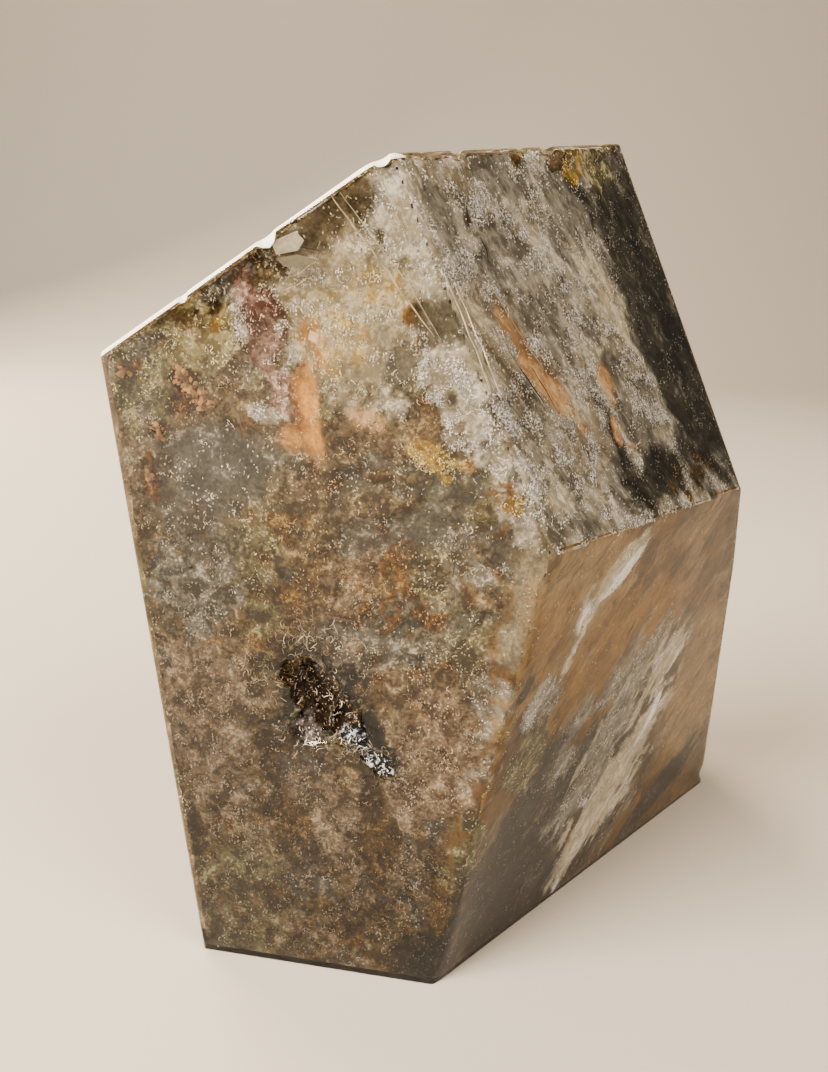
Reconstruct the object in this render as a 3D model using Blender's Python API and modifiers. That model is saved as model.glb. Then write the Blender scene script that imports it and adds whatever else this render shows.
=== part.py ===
"""Garden quartz: a clear quartz freeform, ground to flat faces and polished, that stands on its flat foot.

Metres, +Z up. The widest face looks toward -Y. Each flat is given by the way it faces and by one corner that
it was ground down to. Corners are in millimetres from the front corner of the foot, and the finished stone is
moved so that the origin is at the bottom centre of its box.
"""

import math
import random
from functools import partial

import bmesh
import bpy
from mathutils import Matrix, Vector, noise

MM = 0.001

# Corners that set the size of the stone, in mm: right, back and up from the front corner of the foot
FOOT_FRONT = (0.0, 0.0, 0.0)
FOOT_LEFT = (-25.4, 4.2, 0.0)
FOOT_RIGHT = (40.4, 40.3, 0.0)
SHOULDER_LEFT = (-31.8, 4.5, 64.5)
SHOULDER_RIGHT = (33.5, 22.0, 49.6)
HIP_RIGHT = (35.4, 25.9, 40.0)
PEAK_LEFT = (-6.0, 0.0, 81.2)
PEAK_RIGHT = (16.6, 23.6, 85.2)
BACK_FOOT = (12.0, 50.0, 0.0)
BACK_LEFT_FOOT = (-22.0, 28.5, 0.0)

# Each flat: degrees to the right of -Y that it faces, degrees that it leans up, and a corner that it holds
FLATS = {
    "front": (-9.4, -0.7, FOOT_FRONT),
    "low_right": (44.4, -8.8, FOOT_FRONT),
    "high_right": (43.8, 19.8, SHOULDER_RIGHT),
    "low_back_right": (102.0, 11.1, HIP_RIGHT),
    "high_back_right": (122.0, 20.8, SHOULDER_RIGHT),
    "back": (-171.0, 12.0, BACK_FOOT),
    "back_left": (-128.0, 6.0, BACK_LEFT_FOOT),
    "left": (-97.0, -5.6, FOOT_LEFT),
    "roof": (-100.3, 57.0, SHOULDER_LEFT),
    "top": (-119.0, 63.9, PEAK_RIGHT),
}
ROUGH_BLOCK = 200.0  # mm, side of the block before grinding

# Radius of the polish along the edges, in mm
POLISHED_EDGE = 0.8
FOOT_EDGE = 0.4
WORN_EDGES = {
    ("front", "low_right"): 2.4,
    ("front", "high_right"): 2.4,
    ("high_right", "top"): 1.2,
    ("high_right", "high_back_right"): 1.4,
}
EDGE_SEGMENTS = 3

# Chips along an edge: the two flats that meet there, its first and last corner, then for each chip the
# share of the way along the edge, its length and its depth in mm
CHIPPED_EDGES = (
    (
        ("front", "roof"),
        (SHOULDER_LEFT, PEAK_LEFT),
        (
            (0.31, 1.4, 0.60),
            (0.60, 2.4, 0.70),
            (0.97, 2.0, 0.64),
        ),
    ),
    (
        ("high_right", "top"),
        (PEAK_LEFT, PEAK_RIGHT),
        (
            (0.24, 2.6, 1.00),
            (0.50, 2.2, 0.90),
            (0.62, 2.6, 0.94),
            (0.90, 2.0, 0.90),
        ),
    ),
    (
        ("low_right", "low_back_right"),
        (FOOT_RIGHT, HIP_RIGHT),
        ((0.06, 4.0, 0.80),),
    ),
)
CHIP_DIP = 0.4  # share of a chip's cutter that reaches into the stone
CHIP_HALF = 0.62  # half a cutter's length for each mm of its chip
CHIP_SPREAD = 1.4  # how much wider a chip's cutter is than deep
CHIP_TWIST = math.radians(14)  # how far a chip may lie askew of its edge
CHIP_DETAIL = 2  # subdivisions of the ball that cuts a chip
CHIP_ROUGHNESS = 0.12  # share of its radius by which a chip's cutter is uneven

# The hollow in the front: its middle, and its lobes, each given by how far right and up it lies from there,
# its half sizes along, across and into the face, and how far it runs downhill to the right
HOLLOW_MIDDLE = (-10.6, 1.4, 31.2)
HOLLOW_LOBES = (
    ((-3.4, 4.0), (2.4, 1.7, 1.7), math.radians(-20)),
    ((-1.8, 1.6), (3.4, 2.5, 2.0), math.radians(75)),
    ((0.6, -0.8), (3.6, 1.9, 1.8), math.radians(50)),
    ((-2.6, -2.0), (2.4, 1.8, 0.7), math.radians(15)),
    ((4.2, -4.8), (2.9, 1.2, 0.9), math.radians(40)),
)
HOLLOW_DETAIL = 3
HOLLOW_ROUGHNESS = 0.5
LUMP_SPACING = 0.62  # of a ball's radius, between the lumps that make a cutter uneven
SEED_STEP = Vector((33.0, 17.0, 21.0))  # moves the lumps of one cutter away from those of the next

SAME_WAY = 0.9999  # cosine under which a face belongs to another flat

SEED = 7


def facing(flat):
    """The outward direction of a flat."""
    azimuth, lean, _ = FLATS[flat]
    across = math.radians(azimuth)
    up = math.radians(lean)
    return Vector(
        (
            math.sin(across) * math.cos(up),
            -math.cos(across) * math.cos(up),
            math.sin(up),
        )
    )


def collection(name, hidden=False):
    made = bpy.data.collections.new(name)
    bpy.context.scene.collection.children.link(made)
    made.hide_render = hidden
    return made


def quartz():
    """Polished clear quartz, a little smoky from what grew in it."""
    material = bpy.data.materials.new("clear_quartz")
    material.use_nodes = True
    shader = material.node_tree.nodes["Principled BSDF"]
    shader.inputs["Base Color"].default_value = (0.62, 0.56, 0.47, 1.0)
    shader.inputs["Roughness"].default_value = 0.05
    shader.inputs["Metallic"].default_value = 0.0
    shader.inputs["IOR"].default_value = 1.544
    shader.inputs["Transmission Weight"].default_value = 0.6
    return material


def grind(bm, flat):
    """Takes off everything beyond one flat, and closes the block with that flat."""
    corner = FLATS[flat][2]
    cut = bmesh.ops.bisect_plane(
        bm,
        geom=bm.verts[:] + bm.edges[:] + bm.faces[:],
        plane_co=Vector(corner) * MM,
        plane_no=facing(flat),
        clear_outer=True,
    )
    rim = [edge for edge in cut["geom_cut"] if isinstance(edge, bmesh.types.BMEdge)]
    bmesh.ops.holes_fill(bm, edges=rim)


def flat_of(face):
    """The name of the flat that a face is part of, or None for the foot."""
    best = max(FLATS, key=lambda flat: facing(flat).dot(face.normal))
    return best if facing(best).dot(face.normal) > SAME_WAY else None


def edge_polish(edge):
    """How far the polish has rounded an edge, in mm."""
    pair = {flat_of(face) for face in edge.link_faces}
    if None in pair:
        return FOOT_EDGE
    for flats, radius in WORN_EDGES.items():
        if pair == set(flats):
            return radius
    return POLISHED_EDGE


def ground_block():
    """The block cut to its flats, with each edge's polish as its bevel weight."""
    bm = bmesh.new()
    lift = Matrix.Translation((0, 0, ROUGH_BLOCK * MM / 2))
    bmesh.ops.create_cube(bm, size=ROUGH_BLOCK * MM, matrix=lift)
    for flat in FLATS:
        grind(bm, flat)
    bm.normal_update()
    widest = max(WORN_EDGES.values())
    weight = bm.edges.layers.float.new("bevel_weight_edge")
    for edge in bm.edges:
        edge[weight] = edge_polish(edge) / widest
    mesh = bpy.data.meshes.new("quartz_freeform")
    bm.to_mesh(mesh)
    bm.free()
    return mesh, widest


def uneven_ball(bm, place, detail, roughness, seed):
    """A ball of radius 1 with a rough surface, put in its place by a matrix."""
    ball = bmesh.ops.create_icosphere(bm, subdivisions=detail, radius=1.0)["verts"]
    for vert in ball:
        lump = noise.noise(vert.co / LUMP_SPACING + SEED_STEP * seed)
        vert.co *= 1 + roughness * lump
    bmesh.ops.transform(bm, matrix=place, verts=ball)


def axes(along, out, middle, half):
    """A matrix that stretches a ball along an edge or face and sets it at middle."""
    across = out.cross(along).normalized()
    turn = Matrix((along.normalized(), across, out)).transposed().to_4x4()
    size = Matrix.Diagonal((half[0], half[1], half[2], 1 / MM)) * MM
    return Matrix.Translation(Vector(middle) * MM) @ turn @ size


def chip_cutters(bm, draw):
    """One shallow scoop for each chip, with its middle just outside the edge."""
    for flats, ends, chips in CHIPPED_EDGES:
        start, end = (Vector(corner) for corner in ends)
        along = (end - start).normalized()
        out = sum((facing(flat) for flat in flats), Vector())
        out = (out - along * out.dot(along)).normalized()
        for share, length, depth in chips:
            radius = depth / CHIP_DIP
            half = (length * CHIP_HALF, radius * CHIP_SPREAD, radius)
            middle = start.lerp(end, share) + out * (radius - depth)
            twist = Matrix.Rotation(draw.uniform(-CHIP_TWIST, CHIP_TWIST), 3, out)
            place = axes(twist @ along, out, middle, half)
            uneven_ball(bm, place, CHIP_DETAIL, CHIP_ROUGHNESS, draw.random())


def lobe_cutter(bm, draw, lobe):
    """One lobe of the natural pit in the front. The lobes run into each other, down to the right."""
    (right, up), half, turn = lobe
    out = facing("front")
    level = Vector((0, 0, 1)).cross(out).normalized()
    along = Matrix.Rotation(-turn, 3, out) @ level
    middle = Vector(HOLLOW_MIDDLE) + level * right + out.cross(level) * up
    place = axes(along, out, middle, half)
    uneven_ball(bm, place, HOLLOW_DETAIL, HOLLOW_ROUGHNESS, draw.random())


def cutters():
    """A mesh with all the chips, and one for each lobe of the hollow, by name."""
    draw = random.Random(SEED)
    shapes = {"chips": chip_cutters}
    for number, lobe in enumerate(HOLLOW_LOBES, 1):
        shapes[f"hollow_{number}"] = partial(lobe_cutter, lobe=lobe)
    made = {}
    for name, shape in shapes.items():
        bm = bmesh.new()
        shape(bm, draw)
        bmesh.ops.recalc_face_normals(bm, faces=bm.faces)
        made[name] = bpy.data.meshes.new(name)
        bm.to_mesh(made[name])
        bm.free()
    return made


def add_object(name, mesh, home, parent):
    made = bpy.data.objects.new(name, mesh)
    home.objects.link(made)
    made.parent = parent
    return made


def settle(stone, root):
    """Moves the stone so that the origin is at the bottom centre of its box."""
    bpy.context.view_layer.update()
    graph = bpy.context.evaluated_depsgraph_get()
    shape = stone.evaluated_get(graph)
    corners = [Vector(corner) for corner in shape.bound_box]
    low = [min(corner[axis] for corner in corners) for axis in range(3)]
    high = [max(corner[axis] for corner in corners) for axis in range(3)]
    root.location = (-(low[0] + high[0]) / 2, -(low[1] + high[1]) / 2, -low[2])


def build():
    for old in list(bpy.data.objects):
        bpy.data.objects.remove(old)
    parts = collection("garden_quartz")
    tools = collection("cutters", hidden=True)
    root = add_object("stone_place", None, parts, None)

    mesh, widest = ground_block()
    stone = add_object("quartz_freeform", mesh, parts, root)
    stone.data.materials.append(quartz())
    polish = stone.modifiers.new("polished edges", "BEVEL")
    polish.limit_method = "WEIGHT"
    polish.width = widest * MM
    polish.segments = EDGE_SEGMENTS
    for name, shape in cutters().items():
        cutter = add_object(name, shape, tools, root)
        cutter.hide_render = True
        cutter.display_type = "WIRE"
        cut = stone.modifiers.new(name, "BOOLEAN")
        cut.operation = "DIFFERENCE"
        cut.object = cutter
    settle(stone, root)


build()
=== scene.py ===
"""Looks of the garden quartz: polished clear quartz with a mineral garden close under its flats.

Metres, +Z up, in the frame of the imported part. Spots on a flat are in millimetres, to the right and up
along the flat as seen from outside, from the point of the flat that is nearest to the origin.
"""

import math

import bmesh
import bpy
import numpy as np
from mathutils import Euler, Matrix, Vector
from mathutils.bvhtree import BVHTree


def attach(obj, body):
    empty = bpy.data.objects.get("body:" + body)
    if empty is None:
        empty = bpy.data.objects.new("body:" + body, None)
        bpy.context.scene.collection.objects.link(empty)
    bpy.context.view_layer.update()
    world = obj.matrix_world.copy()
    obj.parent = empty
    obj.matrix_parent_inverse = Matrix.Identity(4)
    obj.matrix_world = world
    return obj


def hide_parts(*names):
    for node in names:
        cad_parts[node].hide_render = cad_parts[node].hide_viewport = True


bl_info = {
    "name": "Garden Quartz",
    "version": (1, 0, 0),
    "blender": (4, 5, 0),
    "location": "3D View > Sidebar > Quartz",
    "description": "A polished garden quartz freeform with its inclusions and a plain stage",
    "category": "Add Mesh",
}

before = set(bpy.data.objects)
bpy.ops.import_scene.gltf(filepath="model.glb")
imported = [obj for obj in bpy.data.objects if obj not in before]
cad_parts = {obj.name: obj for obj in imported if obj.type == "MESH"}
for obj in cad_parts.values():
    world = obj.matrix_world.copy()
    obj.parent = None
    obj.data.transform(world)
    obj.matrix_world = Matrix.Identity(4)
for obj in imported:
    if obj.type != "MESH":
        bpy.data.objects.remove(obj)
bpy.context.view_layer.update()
STONE = "quartz_freeform"
MM = 0.001

# Depths under a flat, in mm
WORN_DEPTH = 0.42  # from where the surface is broken and not polished
SPOT_DEPTH = 3.0  # that a growth reaches, and so round an edge
LEAST_DEPTH = 0.46  # of the garden under the true surface
LEAST_SWELL = 0.3  # that the waves of the garden add to it
HOLLOW_DEPTH = 0.12  # from where the surface is that of the hollow
FLAKE_DEPTHS = (0.30, 0.34)  # of the two sides of a flake
LINE_DEPTH = 0.34
FROST_DEPTHS = (0.015, 1.6)  # between which a frosted edge lies, under both of its flats

# Other measures, in mm where no other unit is given
MERGED = 0.01  # doubled corners nearer than this are one
ON_FLAT = 0.3  # a corner nearer than this to a flat's plane lies on the flat
BROKEN_LUMPS = 1.3  # size of the lumps of a broken surface
BROKEN_RELIEF = 0.5  # and how far they rise and sink
EDGE_OVERLAP = 0.14  # that the sheets of two flats reach over each other
CRUST_LIFT = 0.04  # from the quartz
CRUST_CLING = 0.4  # share of the usual lift that curls and crumbs have on the crust
THREAD_STEP = 0.13  # between the points of a thread
TUBE_SIDES = 5
FLAKE_SHADE = 0.5  # from 0, dark, to 1, pale
LUMP_SHADE = 0.7
LUMP_COLOURS = ("#5A3A18", "#D2A268")  # from the darkest to the palest grain
QUARTZ_IOR = 1.544

# Painted shade over the foot of the front and toward its left: how much darker it is there, up to what height
# in mm, and how many mm that height rises for each mm to the left
LOW_PAINTED_SHADE = 0.42
LOW_TOP = 42.0
LOW_SLOPE = 0.8

# Seeds of the patterns
SEEDS = {"grit": 7, "ragged": 61, "clumps": 67, "waves": 71, "sink": 73, "broken": 97, "thread": 3, "line": 5}

# The floor and the backdrop behind it, in m
FLOOR_HALF = 1.8
FLOOR_FRONT = -1.2
BEND_START = 0.45
BEND_RADIUS = 0.35
BEND_STEPS = 12
WALL_TOP = 2.0

# Lights: place and side in m, colour, and whether it shows in mirror images
LIGHTS = {
    "key": ((-0.50, -0.32, 0.42), 0.40, "#FFF3E2", True),
    "rim": ((-0.34, 0.36, 0.34), 0.36, "#FFEBD2", True),
    "fill": ((0.41, -0.33, 0.50), 0.42, "#FFEEDA", False),
}
LIGHT_TARGET = (0.0, 0.0, 0.04)

# The camera: place in m, turn as rows of a matrix, and lens in mm
CAMERA_PLACE = (-0.00779, -0.09933, 0.07296)
CAMERA_TURN = (
    (0.9996110799, -0.0278870751, 0.0),
    (0.0083916477, 0.3007982746, -0.9536508681),
    (0.0265945333, 0.9532799742, 0.3009153066),
)
CAMERA_LENS = 29.2

# The flats: degrees to the right of -Y that each faces, and degrees that it leans up
FLATS = {
    "front": (-9.4, -0.7),
    "low_right": (44.4, -8.8),
    "high_right": (43.8, 19.8),
    "low_back_right": (102.0, 11.1),
    "high_back_right": (122.0, 20.8),
    "back": (-171.0, 12.0),
    "back_left": (-128.0, 6.0),
    "left": (-97.0, -5.6),
    "roof": (-100.3, 57.0),
    "top": (-119.0, 63.9),
    "foot": (0.0, -90.0),
}

# Parts of the garden: the flats that each lies under, its lowest and highest point in mm, the share of the
# full number of curls and crumbs that it has, and how much wider than the full spacing its points lie
REGIONS = {
    "front_low": (("front",), -5, 27, 1.0, 0.78),
    "front_middle": (("front",), 27, 53, 1.0, 0.78),
    "front_high": (("front",), 53, 95, 1.0, 0.78),
    "upper_right": (("high_right",), -5, 95, 0.95, 0.78),
    "lower_right": (("low_right",), -5, 95, 0.8, 0.85),
    "crown": (("roof", "top"), -5, 95, 0.6, 1.0),
    "right_end": (("low_back_right", "high_back_right"), -5, 95, 0.4, 1.3),
    "back": (("back",), -5, 95, 0.3, 1.3),
    "left_end": (("back_left", "left"), -5, 95, 0.4, 1.3),
    "underside": (("foot",), -5, 95, 0.15, 1.6),
}

# Edges that were ground and not polished, so that they catch the light as a white line
FROSTED_EDGES = (("front", "roof"),)

# What grew in the stone, and painted light and shade where noted: the colour of its mass, the colour of its
# curls, curls and crumbs per mm2, how much deeper it lies in mm, and how soft it looks from 0, crisp crumbs,
# to 1, a haze
GROWTHS = {
    "tan_garden": ("#6F5F44", "#D6C4A2", 1, 3.4, 0, 0),
    "rose_garden": ("#88755E", "#E2CFB6", 1, 4.6, 0, 0),
    "brown_garden": ("#594321", "#B39766", 1, 2.4, 0.3, 0),
    "olive_garden": ("#6F6849", "#DDD4AE", 1.1, 4, 0.1, 0),
    "grey_garden": ("#757063", "#E4DED0", 1, 4.6, 0, 0),
    "rust": ("#6E5024", "#CDA36C", 1.2, 5, 0, 0),
    "gold": ("#A08640", "#FFEDB4", 2, 9, 0, 0),
    "straw": ("#968B68", "#FBF2D0", 1.4, 9, 0, 0.1),
    "orange_lump": ("#54381A", "#BE8C52", 1, 3.6, 0.3, 0),
    "mauve": ("#8C7264", "#EFDDD2", 1.2, 12, -0.1, 0),
    "white_moss": ("#A9A190", "#FFFFFF", 4.5, 30, -0.3, 0),
    "smoke": ("#57554C", "#F2EEE2", 0.3, 1.7, 1.2, 0.7),
    "hollow_dark": ("#1E1812", "#8C7A5C", 0.8, 1.2, 0.3, 0.1),
    "chlorite": ("#3B362A", "#A9A18D", 0.4, 3, 0.4, 0.45),
    # Dark growth: real dark chlorite on the upper right, and painted shade where it darkens the foot of the
    # front and the lower left of the low right flat
    "ink": ("#1D1912", "#7E7664", 0.3, 1.6, 0.4, 0.5),
    "frost": ("#BFB9AA", "#FFFFFC", 2, 14, 0.1, 0.1),
    "ash": ("#89857A", "#F2EFE4", 1.2, 7, 0.2, 0.25),
    "milky": ("#857C68", "#E6DFCF", 0.4, 1.8, 0.5, 0.6),
    "cream": ("#D9B086", "#FFF0D8", 1.2, 10, 0, 0.1),
    "honey": ("#674C22", "#2C1C0A", 0.4, 1, 0.8, 0.85),
    "toffee": ("#987E56", "#E4CB98", 0.3, 0.8, 0.6, 0.85),
    "amber": ("#8C6628", "#D8AC60", 0.4, 1, 0.4, 0.8),
    "silver": ("#CCC4B0", "#FFFCF2", 1, 5, 0.2, 0.15),
    # Painted highlight: pure white that stands in for glints of light off the stone
    "glint": ("#FFFFFF", "#FFFFFF", 1.5, 14, -0.2, 0.6),
    # Clear windows whose tan and sand colour is painted light that comes through the stone from behind
    "clear_tan": ("#D7A35F", "#FFF4E0", 0.3, 0.6, 1.6, 0.9),
    "clear_sand": ("#C9A67C", "#FBE6CC", 0.8, 3, 1.2, 0.6),
    "clear_smoke": ("#5C5544", "#F2ECDE", 0.6, 1.2, 2, 0.8),
    "clear_brown": ("#6E624C", "#E4D8BC", 0.4, 0.8, 2, 0.9),
    "clear_frost": ("#B8AE98", "#FFFEF6", 1.6, 9, 1.2, 0.3),
    "clear_gold": ("#BCA56C", "#FFF5D6", 1.2, 7, 1.2, 0.35),
    "crust_gold": ("#5A4A35", "#BDAE90", 2.2, 5, 0, 0),
    "crust_dark": ("#2A2119", "#85765E", 1.3, 3, 0, 0),
    "crust_lilac": ("#4A4442", "#A89E9A", 1, 2.6, 0, 0),
    # Dark crust with blue-white specks: the specks are a painted glint of light off the hollow's wall
    "crust_dark_with_glint": ("#222326", "#E8EEF4", 2, 2.4, 0, 0),
}

# Clumps of other growth in the plain garden: growth, size in mm, the level over which it shows, and seed
CLUMPS = (
    ("grey_garden", 8, 0.54, 11),
    ("rose_garden", 6, 0.54, 29),
    ("brown_garden", 4.6, 0.53, 23),
    ("olive_garden", 9, 0.6, 37),
    ("smoke", 5, 0.7, 41),
    ("rust", 2.2, 0.8, 53),
)

# Where growths lie, for each flat in the order in which they cover each other: right, up, half width and
# half height in mm, turn in degrees, growth and strength. These come first and cover a whole flat.
BASES = {
    "high_right": ((-5, 58, 44, 36, 0, "frost", 1),),
    "low_right": ((5, 28, 50, 50, 0, "honey", 1),),
}

# Growth that comes and goes within its place: as above, then the size in mm of its patches, the level
# over which it shows and the seed of its pattern. A lower level shows more.
VEILS = {
    "high_right": (
        (-4, 60, 40, 30, 0, "ash", 0.9, 3.4, 0.52, 103),
        (-10, 62, 20, 20, 0, "smoke", 0.55, 2.2, 0.6, 107),
        (-8, 60, 30, 30, 0, "white_moss", 0.75, 1.6, 0.62, 109),
        (-2, 62, 6, 16, 16, "ash", 0.9, 2.4, 0.46, 151),
    ),
    "low_right": (
        (8, 36, 40, 30, 0, "toffee", 0.7, 2.6, 0.54, 113),
        (-2, 36, 16, 14, 0, "amber", 0.8, 2.8, 0.56, 127),
        (2, 18, 22, 15, 52, "ash", 1, 2, 0.46, 131),
        (2, 17, 20, 13, 52, "chlorite", 0.95, 2.2, 0.52, 137),
        (0, 14, 18, 10, 56, "ink", 0.9, 1.8, 0.58, 157),
        (5, 18, 20, 10, 55, "silver", 1, 1.6, 0.56, 139),
        # Painted highlights over the streaks of this flat
        (6, 20, 16, 7, 58, "glint", 0.9, 1, 0.66, 149),
    ),
}

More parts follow.
